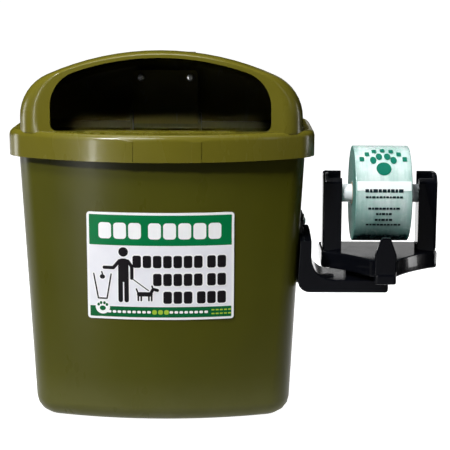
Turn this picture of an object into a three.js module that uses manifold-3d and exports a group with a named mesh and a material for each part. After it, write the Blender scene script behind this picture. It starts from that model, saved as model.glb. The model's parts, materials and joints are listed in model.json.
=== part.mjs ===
// Dog waste bin: a tapered plastic tub under a hooded lid, with a bag-roll
// dispenser on an arm at its right-hand side.
// Millimetres, +Z up, the mouth of the hood faces -Y, and the origin is the
// middle of the tub's underside.
import * as THREE from 'three';
import { mergeVertices } from 'three/addons/utils/BufferGeometryUtils.js';
import Module from 'manifold-3d';

const wasm = await Module();
wasm.setup();

// Driving dimensions

const gap = 0.3; // left between pieces that touch
const past = 5; // how far a cutter runs past what it cuts

const tub = {
  height: 365,
  halfWidth: 163.5, // at the underside, before the base fillet
  sideDraft: 0.051, // growth of the half-width per mm of height
  front: 92,
  frontDraft: 0.075,
  rear: 95,
  rearDraft: 0.039,
  baseBow: 440, // plan radius of the front at the base
  rimBow: 310, // and at the rim
  frontCorner: 38,
  rearCorner: 34,
  baseFillet: 22,
  wall: 3,
  lip: 5, // how far the rim turns outwards
  lipHeight: 12,
  lipWall: 4,
  drainRadius: 5,
  drainSpread: 70, // holes from the middle, sideways
  drainDepthSpread: 35, // and towards front and rear
};

const lug = {
  thickness: 3,
  reach: 28, // forwards
  rise: 15, // above the rim
  drop: 33, // below the rim
  sideGap: 1.5, // beside the lid's pocket
  hoodSpace: 3,
  rearCorner: 3,
  frontCorner: 6,
  footCorner: 8,
};

const label = { halfWidth: 91.5, height: 137, bottom: 138, thickness: 0.6, corner: 4 };

const lid = {
  wall: 3,
  skirtDrop: 26, // skirt below the rim
  skirtSpace: 2.8, // between the rim's lip and the skirt
  shoulderRise: 7.5, // shoulder above the rim
  shoulderEdge: 8,
  bow: 310,
  corner: 44,
  seatWidth: 3, // rib that stands on the rim
  ribProud: 0.8,
  ribs: [{ x: -37, halfWidth: 4.8 }, { x: 45, halfWidth: 6 }], // on the skirt's front
  sillHalfWidth: 92.5, // raised strip along the mouth's sill
  sillDepth: 12,
  sillHeight: 1.4,
};

const hood = {
  rise: 98.5, // above the shoulder
  sideInset: 16, // in from the skirt, on each side
  frontSetback: 44,
  rearSetback: 17,
  bow: 350, // radius of the top of the arch
  corner: 58,
  footCorner: 1,
  sideRound: 26, // rounding of the front edge
  topRound: 4,
  rearRound: 10,
  rearFall: 17,
  frame: 40.5, // side of the hood to side of the opening
  topFrame: 8,
  openingBow: 325,
  openingCorner: 45,
  sillCorner: 8,
};

const pocket = {
  halfWidth: 43,
  rise: 72, // above the rim
  depth: 27, // forwards from the hood's rear face
  corner: 5,
  boltSpread: 33,
  boltRise: 62,
};

const bracket = {
  thickness: 3,
  height: 44, // of the leg in the pocket
  rise: 26, // of the wall leg above it
  holeRadius: 3.5,
  holeSpread: 25,
  holeInset: 14,
  space: 1, // round it in the lid's pocket
  skirtSpace: 1,
};

const bolt = {
  shank: 2.6,
  head: 5.2,
  headHeight: 3.2,
  washer: 5.8,
  washerThickness: 1.2,
  nut: 5,
  nutHeight: 4.5,
  tail: 3, // past the nut
  bite: 16, // of a screw into a moulding
  tipSpace: 2, // past a screw's tip in its hole
  point: 0.6, // chamfer at the tip
};

const plate = {
  thickness: 4,
  bottom: 169,
  height: 90,
  front: 30,
  rear: 22,
  corner: 8,
  boltDrop: 9, // below the plate's top
  boltSpread: 15,
};

const arm = {
  legThickness: 16, // sideways, at the height of the bolts
  bottom: 164,
  thickness: 16.5,
  legRise: 75,
  legSlope: 9, // how far the leg's top falls towards the front
  front: 60,
  rear: 18,
  outerCorner: 15,
  innerCorner: 28,
  endCorner: 4,
  reach: 8, // past the middle of the dispenser
  boltRise: 46,
  boltSpread: 14,
  counterbore: 6.6,
  counterboreDepth: 5,
  padHeight: 7.2, // raised under the cradle
  padHalfLength: 29,
  legCorner: 2,
  edge: 1.5,
};

const cradle = {
  sideReach: 106.5, // tub's side, at the arm, to the middle of the dispenser
  front: 20,
  rear: 54,
  neckFront: 76,
  neckHalfWidth: 18,
  flareHalfWidth: 36, // pull of the curve that widens the neck
  flareFront: 44,
  thickness: 22,
  overhang: 1.5, // past the uprights
  corner: 7,
  edge: 3,
};

const upright = {
  thickness: 24.5,
  depth: 32,
  aboveAxis: 28,
  chamferDepth: 9,
  chamferHeight: 12,
  corner: 5,
  edge: 4,
  outerWall: 6.5,
};

const finger = {
  halfWidth: 13.4,
  tipHalfWidth: 5.5,
  thickness: 9,
  blockLength: 24,
  blockHeight: 13,
  drop: 5, // below the cradle's underside
  shoulderRise: 32, // above the cradle's underside
  rise: 54,
  tongue: 18, // under the neck
  tongueInset: 2,
  shoulderCorner: 6,
  tipCorner: 3,
  blockCorner: 4,
  edge: 2,
};

const spindle = { radius: 11.75, wall: 2.2, endSpace: 0.7 };

const roll = {
  radius: 62,
  width: 72,
  coreWall: 2,
  coreSpace: 0.6, // between the spindle and the core
  deckSpace: 12,
  sideSpace: 13.5,
};

const bagEnd = { thickness: 0.6, inset: 1, top: 50, bottom: -62 }; // degrees above level

// Sizes that follow from them

const halfWidthAt = (z) => tub.halfWidth + tub.sideDraft * z;
const frontAt = (z) => tub.front + tub.frontDraft * z;
const rearAt = (z) => tub.rear + tub.rearDraft * z;
const bowAt = (z) => tub.baseBow + ((tub.rimBow - tub.baseBow) * z) / tub.height;

const rim = tub.height;
const shoulder = rim + lid.shoulderRise;
const skirtOffset = tub.lip + lid.skirtSpace + lid.wall;
const skirt = {
  halfWidth: halfWidthAt(rim) + skirtOffset,
  front: frontAt(rim) + skirtOffset,
  rear: rearAt(rim) + skirtOffset,
  bottom: rim - lid.skirtDrop,
};
hood.halfWidth = skirt.halfWidth - hood.sideInset;
hood.front = -skirt.front + hood.frontSetback;
hood.rear = skirt.rear - hood.rearSetback;
hood.top = shoulder + hood.rise;
pocket.front = hood.rear - pocket.depth;
pocket.top = rim + pocket.rise;
pocket.boltHeight = rim + pocket.boltRise;
arm.boltHeight = arm.bottom + arm.boltRise;
arm.outer = halfWidthAt(arm.boltHeight) + arm.legThickness;
cradle.x = halfWidthAt(arm.boltHeight) + cradle.sideReach;
cradle.bottom = arm.bottom + arm.thickness + arm.padHeight + gap;
cradle.top = cradle.bottom + cradle.thickness;
upright.inner = roll.width / 2 + roll.sideSpace;
upright.outer = upright.inner + upright.thickness;
cradle.halfWidth = upright.outer + cradle.overhang;
spindle.height = cradle.top + roll.deckSpace + roll.radius;
spindle.halfLength = upright.outer - upright.outerWall - spindle.endSpace;
roll.coreRadius = spindle.radius + roll.coreSpace;

const holeRadius = bolt.shank + gap;
const sideTilt = Math.atan(tub.sideDraft);

// Materials

const plastic = (color, roughness) =>
  new THREE.MeshStandardMaterial({ color, roughness, metalness: 0 });
const olive = plastic(0x5a5a22, 0.42);
const black = plastic(0x101214, 0.25);
const white = plastic(0xe9ecea, 0.4);
const film = plastic(0x9fd0bc, 0.3);
const card = plastic(0xa98f6a, 0.85);
const print = plastic(0xeeeff0, 0.35);
const steel = new THREE.MeshStandardMaterial({ color: 0xb4b7b8, roughness: 0.35, metalness: 1 });

// Outlines: lists of points, counter-clockwise

function arc(cx, cy, radius, from, to, steps) {
  return Array.from({ length: steps + 1 }, (_, i) => {
    const angle = from + ((to - from) * i) / steps;
    return new THREE.Vector2(cx + radius * Math.cos(angle), cy + radius * Math.sin(angle));
  });
}

// A rectangle whose -y side bows outwards. Every such outline has the same
// number of points, so a stack of them can be joined into a body.
function bowedOutline({ halfWidth, bowed, flat, bow, bowCorner, flatCorner }, inset = 0) {
  const w = halfWidth - inset;
  const bowRadius = bow - inset;
  const bowY = -(bowed - inset) + bowRadius;
  const near = Math.max(bowCorner - inset, 1);
  const far = Math.max(flatCorner - inset, 1);
  const farY = flat - inset - far;
  const nearY = bowY - Math.sqrt((bowRadius - near) ** 2 - (w - near) ** 2);
  const turn = Math.atan2(nearY - bowY, w - near);
  return [
    ...arc(w - far, farY, far, 0, Math.PI / 2, 5),
    ...arc(-w + far, farY, far, Math.PI / 2, Math.PI, 5),
    ...arc(-w + near, nearY, near, Math.PI, Math.PI - turn, 8),
    ...arc(0, bowY, bowRadius, Math.PI - turn, 2 * Math.PI + turn, 16).slice(1, -1),
    ...arc(w - near, nearY, near, turn, 0, 8),
  ];
}

// A polygon [x, y, corner radius] with its corners rounded
function roundedOutline(corners, steps = 4) {
  const at = (i) => new THREE.Vector2(...corners[(i + corners.length) % corners.length]);
  return corners.flatMap(([x, y, radius], i) => {
    const corner = new THREE.Vector2(x, y);
    if (!radius) {
      return [corner];
    }
    const back = at(i - 1).sub(corner).normalize();
    const on = at(i + 1).sub(corner).normalize();
    const half = Math.acos(back.dot(on)) / 2;
    const bisector = back.clone().add(on).normalize();
    const centre = corner.clone().addScaledVector(bisector, radius / Math.sin(half));
    const start = corner.clone().addScaledVector(back, radius / Math.tan(half)).sub(centre);
    const end = corner.clone().addScaledVector(on, radius / Math.tan(half)).sub(centre);
    const turned = Math.atan2(start.cross(end), start.dot(end));
    return arc(centre.x, centre.y, radius, start.angle(), start.angle() + turned, steps);
  });
}

const rectangle = (x0, x1, y0, y1, radius) =>
  roundedOutline([[x0, y0, radius], [x1, y0, radius], [x1, y1, radius], [x0, y1, radius]]);

// Solids

function solid(geometry) {
  geometry.deleteAttribute('normal');
  geometry.deleteAttribute('uv');
  const merged = mergeVertices(geometry, 1e-4);
  return new wasm.Manifold(new wasm.Mesh({
    numProp: 3,
    vertProperties: new Float32Array(merged.attributes.position.array),
    triVerts: new Uint32Array(merged.index.array),
  }));
}

// Joins a stack of matching outlines, each { points, level }, into a body.
// The stack rises along +z, or towards -y when it is upright.
function loft(rings, upright = false) {
  const position = ({ x, y }, level) => (upright ? [x, level, y] : [x, y, level]);
  const count = rings[0].points.length;
  const vertices = rings.flatMap(({ points, level }) => points.flatMap((p) => position(p, level)));
  const faces = [];
  for (let ring = 0; ring < rings.length - 1; ring += 1) {
    for (let i = 0; i < count; i += 1) {
      const a = ring * count + i;
      const b = ring * count + ((i + 1) % count);
      faces.push(a, b, b + count, a, b + count, a + count);
    }
  }
  const last = (rings.length - 1) * count;
  for (const [a, b, c] of THREE.ShapeUtils.triangulateShape(rings[0].points, [])) {
    faces.push(c, b, a);
  }
  for (const [a, b, c] of THREE.ShapeUtils.triangulateShape(rings.at(-1).points, [])) {
    faces.push(last + a, last + b, last + c);
  }
  const geometry = new THREE.BufferGeometry();
  geometry.setAttribute('position', new THREE.Float32BufferAttribute(vertices, 3));
  geometry.setIndex(faces);
  return solid(geometry);
}

// Which way an outline's x, y and depth run for each axis of extrusion
const bases = {
  x: new THREE.Matrix4().set(0, 0, 1, 0, 1, 0, 0, 0, 0, 1, 0, 0, 0, 0, 0, 1),
  y: new THREE.Matrix4().set(1, 0, 0, 0, 0, 0, -1, 0, 0, 1, 0, 0, 0, 0, 0, 1),
  z: new THREE.Matrix4(),
};

// Extrudes an outline from one place to another along an axis: (y, z) along x,
// (x, z) along y or (x, y) along z. The edge is the size of its end chamfers.
function extrude(axis, points, from, to, edge = 0, holes = []) {
  const shape = new THREE.Shape(points);
  shape.holes = holes.map((hole) => new THREE.Path(hole));
  const geometry = new THREE.ExtrudeGeometry(shape, {
    depth: to - from - 2 * edge,
    bevelEnabled: edge > 0,
    bevelThickness: edge,
    bevelSize: edge,
    bevelOffset: -edge,
    bevelSegments: 2,
    curveSegments: 1,
  });
  geometry.translate(0, 0, edge + (axis === 'y' ? -to : from));
  geometry.applyMatrix4(bases[axis]);
  return solid(geometry);
}

function box(x0, x1, y0, y1, z0, z1) {
  const geometry = new THREE.BoxGeometry(x1 - x0, y1 - y0, z1 - z0);
  geometry.translate((x0 + x1) / 2, (y0 + y1) / 2, (z0 + z1) / 2);
  return solid(geometry);
}

const disc = (x, y, radius, sides) =>
  arc(x, y, radius, 0, 2 * Math.PI, sides).slice(0, -1);

const rod = (axis, x, y, radius, from, to, sides = 16) =>
  extrude(axis, disc(x, y, radius, sides), from, to);

const placed = (body, matrix) => body.transform(matrix.elements);

const mirrored = (body) => body.mirror([1, 0, 0]);

// The scene graph

const bin = new THREE.Group();

function add(name, body, material, parent = bin) {
  const { numProp, vertProperties, triVerts } = body.getMesh();
  const buffer = new THREE.InterleavedBuffer(vertProperties, numProp);
  const geometry = new THREE.BufferGeometry();
  geometry.setAttribute('position', new THREE.InterleavedBufferAttribute(buffer, 3, 0));
  geometry.setIndex([...triVerts]);
  geometry.computeVertexNormals();
  const mesh = new THREE.Mesh(geometry, material);
  mesh.name = name;
  parent.add(mesh);
}

// Fasteners. A site is a matrix whose origin is under the head, with the head
// on its +z side, and the grip is the thickness of what the fastener holds.

const site = (x, y, z, tiltX, tiltY = 0) =>
  new THREE.Matrix4()
    .makeTranslation(x, y, z)
    .multiply(new THREE.Matrix4().makeRotationFromEuler(new THREE.Euler(tiltX, tiltY, 0, 'YXZ')));

function groupAt(matrix) {
  const group = new THREE.Group();
  group.applyMatrix4(matrix);
  bin.add(group);
  return group;
}

// A dome-headed screw as a turned profile, with the socket for its key
function screw(length) {
  const profile = [
    [0, -length],
    [bolt.shank - bolt.point, -length],
    [bolt.shank, -length + bolt.point],
    [bolt.shank, gap],
    [bolt.head, gap],
    [bolt.head, gap + bolt.headHeight * 0.45],
    [bolt.head * 0.75, gap + bolt.headHeight * 0.9],
    [bolt.head * 0.55, gap + bolt.headHeight],
    [0, gap + bolt.headHeight],
  ];
  const points = profile.map(([radius, height]) => new THREE.Vector2(radius, height));
  const geometry = new THREE.LatheGeometry(points, 12);
  geometry.rotateX(Math.PI / 2);
  const socket = rod('z', 0, 0, bolt.shank * 0.6, gap + bolt.headHeight / 2, bolt.head * 2, 6);
  return solid(geometry).subtract(socket);
}

function addBolt(name, matrix, grip) {
  const group = groupAt(matrix);
  const washerTop = -grip - gap;
  const nutTop = washerTop - bolt.washerThickness - gap;
  const nutBottom = nutTop - bolt.nutHeight;
  const bore = [disc(0, 0, holeRadius, 12)];
  const washer = disc(0, 0, bolt.washer, 16);
  add(`${name}_screw`, screw(-nutBottom + bolt.tail), steel, group);
  add(
    `${name}_washer`,
    extrude('z', washer, washerTop - bolt.washerThickness, washerTop, 0, bore),
    steel,
    group,
  );
  add(`${name}_nut`, extrude('z', disc(0, 0, bolt.nut, 6), nutBottom, nutTop, 0, bore), steel, group);
}

const boltHole = (matrix, grip) =>
  placed(rod('z', 0, 0, holeRadius, -grip - past, past), matrix);

// Seen from the tub's right-hand wall: x outwards, y to the rear, z up the wall
const sideFrame = new THREE.Matrix4()
  .makeTranslation(tub.halfWidth, 0, 0)
  .multiply(new THREE.Matrix4().makeRotationY(sideTilt));
const upTheWall = (z) => z / Math.cos(sideTilt);
const sideSite = (out, y, z) =>
  sideFrame.clone().multiply(site(out, y, upTheWall(z), 0, Math.PI / 2));

const bracketSites = [-1, 1].map((side) =>
  site(side * pocket.boltSpread, pocket.front, pocket.boltHeight, Math.PI / 2));
const bracketGrip = lid.wall + gap + bracket.thickness;

const plateTop = plate.bottom + plate.height;
const plateSites = [-1, 1].map((side) =>
  sideSite(gap + plate.thickness, side * plate.boltSpread - (plate.front - plate.rear) / 2,
    plateTop - plate.boltDrop));
const plateGrip = gap + plate.thickness + tub.wall;

const armSeat = arm.legThickness - arm.counterboreDepth;
const armSites = [-1, 1].map((side) =>
  sideSite(armSeat, side * arm.boltSpread - (plate.front - plate.rear) / 2, arm.boltHeight));
const armGrip = armSeat + tub.wall;

// Tub

const tubPlan = (z, inset) =>
  bowedOutline({
    halfWidth: halfWidthAt(z),
    bowed: frontAt(z),
    flat: rearAt(z),
    bow: bowAt(z),
    bowCorner: tub.frontCorner,
    flatCorner: tub.rearCorner,
  }, inset);

// The tub's outline from bottom to top, with a round lower edge
function tubBody(floor, wall, fillet, upper) {
  const steps = 4;
  const base = Array.from({ length: steps + 1 }, (_, i) => {
    const angle = (Math.PI / 2) * (i / steps);
    const level = floor + fillet * (1 - Math.cos(angle));
    return { points: tubPlan(level, wall + fillet * (1 - Math.sin(angle))), level };
  });
  const top = upper.map(([level, inset]) => ({ points: tubPlan(level, inset), level }));
  return loft([...base, ...top]);
}

function lugBody() {
  const inner = pocket.halfWidth + lug.sideGap;
  const wallFace = rearAt(rim - lug.drop) - tub.wall / 2;
  const front = hood.rear - lid.wall - lug.hoodSpace - lug.reach;
  const rear = hood.rear - lid.wall - lug.hoodSpace;
  const ledge = rim - tub.lipHeight;
  const profile = roundedOutline([
    [wallFace, rim - lug.drop, 0],
    [wallFace, ledge, 0],
    [rear, ledge, 0],
    [rear, rim + lug.rise, lug.rearCorner],
    [front, rim + lug.rise, lug.frontCorner],
    [front, ledge, lug.footCorner],
  ].reverse(), 3);
  return extrude('x', profile, inner, inner + lug.thickness);
}

function tubSolid() {
  const ledge = rim - tub.lipHeight;
  const lipInner = tub.lipWall - tub.lip;
  const outside = tubBody(0, 0, tub.baseFillet, [
    [ledge - tub.lip, 0],
    [ledge, -tub.lip],
    [rim, -tub.lip],
  ]);
  const inside = tubBody(tub.wall, tub.wall, tub.baseFillet - tub.wall, [
    [ledge, tub.wall],
    [ledge + tub.wall, lipInner],
    [rim + past, lipInner],
  ]);
  const right = lugBody();
  let body = outside.subtract(inside).add(right).add(mirrored(right));
  for (const x of [-1, 1]) {
    for (const y of [-1, 1]) {
      const centre = [x * tub.drainSpread, y * tub.drainDepthSpread];
      body = body.subtract(rod('z', ...centre, tub.drainRadius, -past, tub.wall + past, 12));
    }
  }
  plateSites.forEach((matrix) => {
    body = body.subtract(boltHole(matrix, plateGrip));
  });
  armSites.forEach((matrix) => {
    body = body.subtract(boltHole(matrix, armGrip));
  });
  return body;
}

// The label is a skin that follows the tub's sloping, bowed front
function labelSolid() {
  const skin = (inset) => {
    const levels = [label.bottom - past, label.bottom + label.height + past];
    return loft(levels.map((level) => ({ points: tubPlan(level, inset), level })));
  };
  const { halfWidth, bottom, height, corner } = label;
  const outline = rectangle(-halfWidth, halfWidth, bottom, bottom + height, corner);
  return skin(-gap - label.thickness)
    .subtract(skin(-gap))
    .intersect(extrude('y', outline, -frontAt(rim) - past, 0));
}

// Lid

const skirtPlan = (inset) =>
  bowedOutline({
    halfWidth: skirt.halfWidth,
    bowed: skirt.front,
    flat: skirt.rear,
    bow: lid.bow,
    bowCorner: lid.corner,
    flatCorner: lid.corner,
  }, inset);

const seatPlan = (inset) => tubPlan(rim, -tub.lip + inset);

const slab = (plan, inset, from, to) =>
  loft([from, to].map((level) => ({ points: plan(inset), level })));

function skirtBody() {
  const steps = 3;
  const edge = lid.shoulderEdge;
  const rounded = Array.from({ length: steps + 1 }, (_, i) => {
    const angle = (Math.PI / 2) * (i / steps);
    return {
      points: skirtPlan(edge * (1 - Math.cos(angle))),
      level: shoulder - edge + edge * Math.sin(angle),
    };
  });
  return loft([{ points: skirtPlan(0), level: skirt.bottom }, ...rounded]);
}

// An arch is a bowed outline with its bow upwards
const arch = (size, foot, top, inset) =>
  bowedOutline({ ...size, bowed: top, flat: -foot }, inset)
    .map(({ x, y }) => new THREE.Vector2(x, -y))
    .reverse();

// The hood as a row of arches from its rear to its front, narrowed at both
// ends by the rounding of its edges. The same row, inset, is its hollow.
function hoodBody(inset, foot) {
  const steps = 4;
  const section = (level, side, top, fall) => ({
    points: arch({
      halfWidth: hood.halfWidth - side,
      bow: hood.bow,
      bowCorner: hood.corner - fall,
      flatCorner: hood.footCorner,
    }, foot - inset, hood.top - top - fall, inset),
    level,
  });
  const front = hood.front + inset;
  const rear = hood.rear - inset;
  const frontRound = hood.sideRound - inset;
  const slopeLength = rear - front - frontRound;
  const rings = [];
  for (let i = 0; i <= steps; i += 1) {
    const angle = (Math.PI / 2) * (i / steps);
    const side = hood.rearRound * (1 - Math.sin(angle));
    const level = rear - hood.rearRound * (1 - Math.cos(angle));
    const fall = hood.rearFall * ((level - front - frontRound) / slopeLength);
    rings.push(section(level, side, side, fall));
  }
  for (let i = steps; i >= 0; i -= 1) {
    const angle = (Math.PI / 2) * (i / steps);
    const inward = 1 - Math.sin(angle);
    const level = front + frontRound * (1 - Math.cos(angle));
    rings.push(section(level, hood.sideRound * inward, hood.topRound * inward, 0));
  }
  return loft(rings, true);
}

function openingCutter() {
  const outline = arch({
    halfWidth: hood.halfWidth - hood.frame,
    bow: hood.openingBow,
    bowCorner: hood.openingCorner,
    flatCorner: hood.sillCorner,
  }, shoulder, hood.top - hood.topFrame, 0);
  return extrude('y', outline, hood.front - past, hood.front + lid.wall + past);
}

const pocketOutline = (inset, foot) => {
  const half = pocket.halfWidth - inset;
  const corner = pocket.corner - inset;
  const top = pocket.top - inset;
  return roundedOutline([[-half, foot, 0], [half, foot, 0], [half, top, corner], [-half, top, corner]]);
};

function lidSolid() {
  const below = skirt.bottom - past;
  const foot = rim + gap;
  const hollow = hoodBody(lid.wall, foot - past);
  const seat = slab(seatPlan, 0, foot, shoulder - lid.wall)
    .subtract(slab(seatPlan, lid.seatWidth, foot - past, shoulder));
  const pad = extrude('y', pocketOutline(0, foot), pocket.front, hood.rear - lid.wall / 2);
  const recess = extrude('y', pocketOutline(lid.wall, shoulder),
    pocket.front + lid.wall, skirt.rear + past);
  let body = skirtBody()
    .subtract(slab(skirtPlan, lid.wall, below, shoulder - lid.wall))
    .add(seat)
    .add(hoodBody(0, shoulder - lid.wall))
    .subtract(hollow)
    .subtract(openingCutter())
    .add(pad)
    .subtract(recess);
  for (const { x, halfWidth } of lid.ribs) {
    const strip = box(x - halfWidth, x + halfWidth, -skirt.front - past, -skirt.front / 2,
      skirt.bottom, shoulder - lid.shoulderEdge);
    const rib = slab(skirtPlan, -lid.ribProud, skirt.bottom, shoulder - lid.shoulderEdge)
      .subtract(slab(skirtPlan, lid.wall / 2, below, shoulder))
      .intersect(strip);
    body = body.add(rib);
  }
  bracketSites.forEach((matrix) => {
    body = body.subtract(boltHole(matrix, lid.wall));
  });
  return body.add(box(-lid.sillHalfWidth, lid.sillHalfWidth, hood.front + lid.wall - lid.sillDepth,
    hood.front + lid.wall, shoulder - lid.wall / 2, shoulder + lid.sillHeight));
}

// Wall bracket: a bent steel strip. Its short leg is bolted into the lid's
// pocket and its long leg lies on the wall.
function bracketSolid() {
  const { thickness, space, holeInset } = bracket;
  const face = pocket.front + lid.wall + gap;
  const wallFace = skirt.rear + bracket.skirtSpace + thickness;
  const back = wallFace - thickness;
  const top = pocket.top - lid.wall - space;
  const bottom = top - bracket.height;
  const wallTop = top + bracket.rise;
  const half = pocket.halfWidth - lid.wall - space;
  const profile = roundedOutline([
    [face, bottom, 2 * thickness],
    [wallFace, bottom, 2 * thickness],
    [wallFace, wallTop, 0],
    [back, wallTop, 0],
    [back, bottom + thickness, thickness],
    [face + thickness, bottom + thickness, thickness],
    [face + thickness, top, 0],
    [face, top, 0],
  ], 3);
  let body = extrude('x', profile, -half, half);
  bracketSites.forEach((matrix) => {
    body = body.subtract(boltHole(matrix, bracketGrip));
  });
  for (const x of [-1, 1]) {
    for (const z of [bottom + holeInset, wallTop - holeInset]) {
      const centre = [x * bracket.holeSpread, z];
      body = body.subtract(rod('y', ...centre, bracket.holeRadius, back - past, wallFace + past, 12));
    }
  }
  return body;
}

// Dispenser

function sidePlateSolid(grow) {
  const outline = rectangle(-plate.front - grow, plate.rear + grow,
    upTheWall(plate.bottom) - grow, upTheWall(plateTop) + grow, plate.corner);
  const body = extrude('x', outline, gap - grow, gap + plate.thickness + grow);
  return placed(body, sideFrame);
}

function sidePlate() {
  let body = sidePlateSolid(0);
  plateSites.forEach((matrix) => {
    body = body.subtract(boltHole(matrix, plateGrip));
  });
  armSites.forEach((matrix) => {
    body = body.subtract(boltHole(matrix, armGrip));
  });
  return body;
}

// Arm: an L whose leg lies against the tub and whose foot carries the cradle
const armTop = arm.bottom + arm.thickness;
const padTop = armTop + arm.padHeight;
const padX = cradle.x - arm.padHalfLength / 2;
const cradleHole = arm.thickness + arm.padHeight + bolt.bite;
const cradleScrews = [-1, 1].map((side) =>
  site(padX + (side * arm.padHalfLength) / 2, 0, arm.bottom, Math.PI));

function armSolid() {
  const legTop = arm.bottom + arm.legRise;
  const end = cradle.x + arm.reach;
  const wallFace = (z) => halfWidthAt(z) + 2 * gap;
  const profile = roundedOutline([
    [wallFace(arm.bottom), arm.bottom, arm.outerCorner],
    [end, arm.bottom, arm.endCorner],
    [end, armTop, arm.endCorner],
    [arm.outer, armTop, arm.innerCorner],
    [arm.outer, legTop, arm.legCorner],
    [wallFace(legTop), legTop, arm.legCorner],
  ], 6);
  const topCut = roundedOutline([
    [-arm.front - past, legTop - arm.legSlope, 0],
    [0, legTop, 0],
    [0, legTop + past, 0],
    [-arm.front - past, legTop + past, 0],
  ]);
  let body = extrude('y', profile, -arm.front, arm.rear, arm.edge)
    .add(box(padX - arm.padHalfLength, padX + arm.padHalfLength / 2 + arm.reach,
      -cradle.front, arm.rear - past, armTop - arm.edge, padTop))
    .subtract(extrude('x', topCut, 0, arm.outer + past))
    .subtract(sidePlateSolid(gap));
  armSites.forEach((matrix) => {
    const bore = rod('z', 0, 0, arm.counterbore, 0, arm.legThickness + past);
    body = body.subtract(boltHole(matrix, armGrip)).subtract(placed(bore, matrix));
  });
  cradleScrews.forEach((matrix) => {
    body = body.subtract(placed(rod('z', 0, 0, holeRadius, -cradleHole, past), matrix));
  });
  return body;
}

// Cradle: the deck under the roll, drawn in at the front to a neck
const uprightScrews = [-1, 1].map((side) =>
  site(cradle.x + (side * (upright.inner + upright.outer)) / 2, 0, cradle.bottom, Math.PI));
const uprightHole = cradle.thickness + bolt.bite + bolt.tipSpace;
const fingerHole = bolt.bite + bolt.tipSpace;
const fingerScrew = site(cradle.x, -cradle.neckFront + finger.tongue / 2,
  cradle.bottom - finger.drop, Math.PI);

function cradleSolid() {
  const { halfWidth, front, rear, neckFront, neckHalfWidth, corner } = cradle;
  const flare = new THREE.QuadraticBezierCurve(
    new THREE.Vector2(neckHalfWidth, -neckFront),
    new THREE.Vector2(cradle.flareHalfWidth, -cradle.flareFront),
    new THREE.Vector2(halfWidth - corner, -front),
  ).getPoints(6);
  const rightSide = [
    ...flare,
    ...arc(halfWidth - corner, -front + corner, corner, -Math.PI / 2, 0, 3).slice(1),
    ...arc(halfWidth - corner, rear - corner, corner, 0, Math.PI / 2, 3),
  ];
  const leftSide = rightSide.map(({ x, y }) => new THREE.Vector2(-x, y)).reverse();
  const plan = [...rightSide, ...leftSide].map(({ x, y }) => new THREE.Vector2(cradle.x + x, y));
  let body = extrude('z', plan, cradle.bottom, cradle.top, cradle.edge);
  const holes = [
    ...cradleScrews.map((matrix) => [matrix, cradleHole]),
    ...uprightScrews.map((matrix) => [matrix, cradle.thickness + past]),
    [fingerScrew, fingerHole],
  ];
  for (const [matrix, depth] of holes) {
    body = body.subtract(placed(rod('z', 0, 0, holeRadius, -depth, past), matrix));
  }
  return body;
}

function uprightSolid(side) {
  const { depth, chamferDepth, chamferHeight, corner, edge, outerWall } = upright;
  const bottom = cradle.top + gap;
  const top = spindle.height + upright.aboveAxis;
  const profile = roundedOutline([
    [-depth / 2, bottom, 0],
    [depth / 2, bottom, 0],
    [depth / 2, top, corner],
    [-depth / 2 + chamferDepth, top, corner],
    [-depth / 2, top - chamferHeight, corner],
  ], 3);
  const slot = [
    new THREE.Vector2(spindle.radius + gap, top + past),
    new THREE.Vector2(-spindle.radius - gap, top + past),
    ...arc(0, spindle.height, spindle.radius + gap, Math.PI, 2 * Math.PI, 12),
  ];
  const slotEnd = upright.outer - outerWall;
  const body = extrude('x', profile, upright.inner - edge, upright.outer, edge)
    .subtract(box(upright.inner - past * 2, upright.inner, -depth, depth, bottom - past, top + past))
    .subtract(extrude('x', slot, upright.inner - past, slotEnd));
  const whole = side > 0 ? body : mirrored(body);
  const moved = whole.translate([cradle.x, 0, 0]);
  const matrix = uprightScrews[side > 0 ? 1 : 0];
  return moved.subtract(placed(rod('z', 0, 0, holeRadius, -uprightHole, 0), matrix));
}

// Finger: a tapering blade on a block at the end of the neck, where a bag is
// caught and torn off
function fingerSolid() {
  const rear = -cradle.neckFront - gap;
  const front = rear - finger.blockLength;
  const foot = cradle.bottom - finger.drop;
  const bladeFoot = foot + finger.blockHeight;
  const { halfWidth, tipHalfWidth } = finger;
  const shoulderZ = cradle.bottom + finger.shoulderRise;
  const tipZ = cradle.bottom + finger.rise;
  const blade = roundedOutline([
    [cradle.x - halfWidth, bladeFoot - past, 0],
    [cradle.x + halfWidth, bladeFoot - past, 0],
    [cradle.x + halfWidth, shoulderZ, finger.shoulderCorner],
    [cradle.x + tipHalfWidth, tipZ, finger.tipCorner],
    [cradle.x - tipHalfWidth, tipZ, finger.tipCorner],
    [cradle.x - halfWidth, shoulderZ, finger.shoulderCorner],
  ]);
  const block = rectangle(cradle.x - halfWidth, cradle.x + halfWidth, front, rear,
    finger.blockCorner);
  const tongueHalf = halfWidth - finger.tongueInset;
  const tongue = rectangle(cradle.x - tongueHalf, cradle.x + tongueHalf,
    rear - past, rear + finger.tongue, finger.edge);
  const hole = placed(rod('z', 0, 0, holeRadius, -fingerHole, past), fingerScrew);
  const bladeFront = front + finger.edge;
  return extrude('z', block, foot, bladeFoot, finger.edge)
    .add(extrude('y', blade, bladeFront, bladeFront + finger.thickness, finger.edge))
    .add(extrude('z', tongue, foot + finger.edge, cradle.bottom - gap))
    .subtract(hole);
}

const ring = (outer, inner, halfLength, sides) =>
  extrude('x', disc(0, spindle.height, outer, sides), cradle.x - halfLength, cradle.x + halfLength, 0,
    [disc(0, spindle.height, inner, sides)]);

const rollInner = roll.coreRadius + roll.coreWall + gap;

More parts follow.
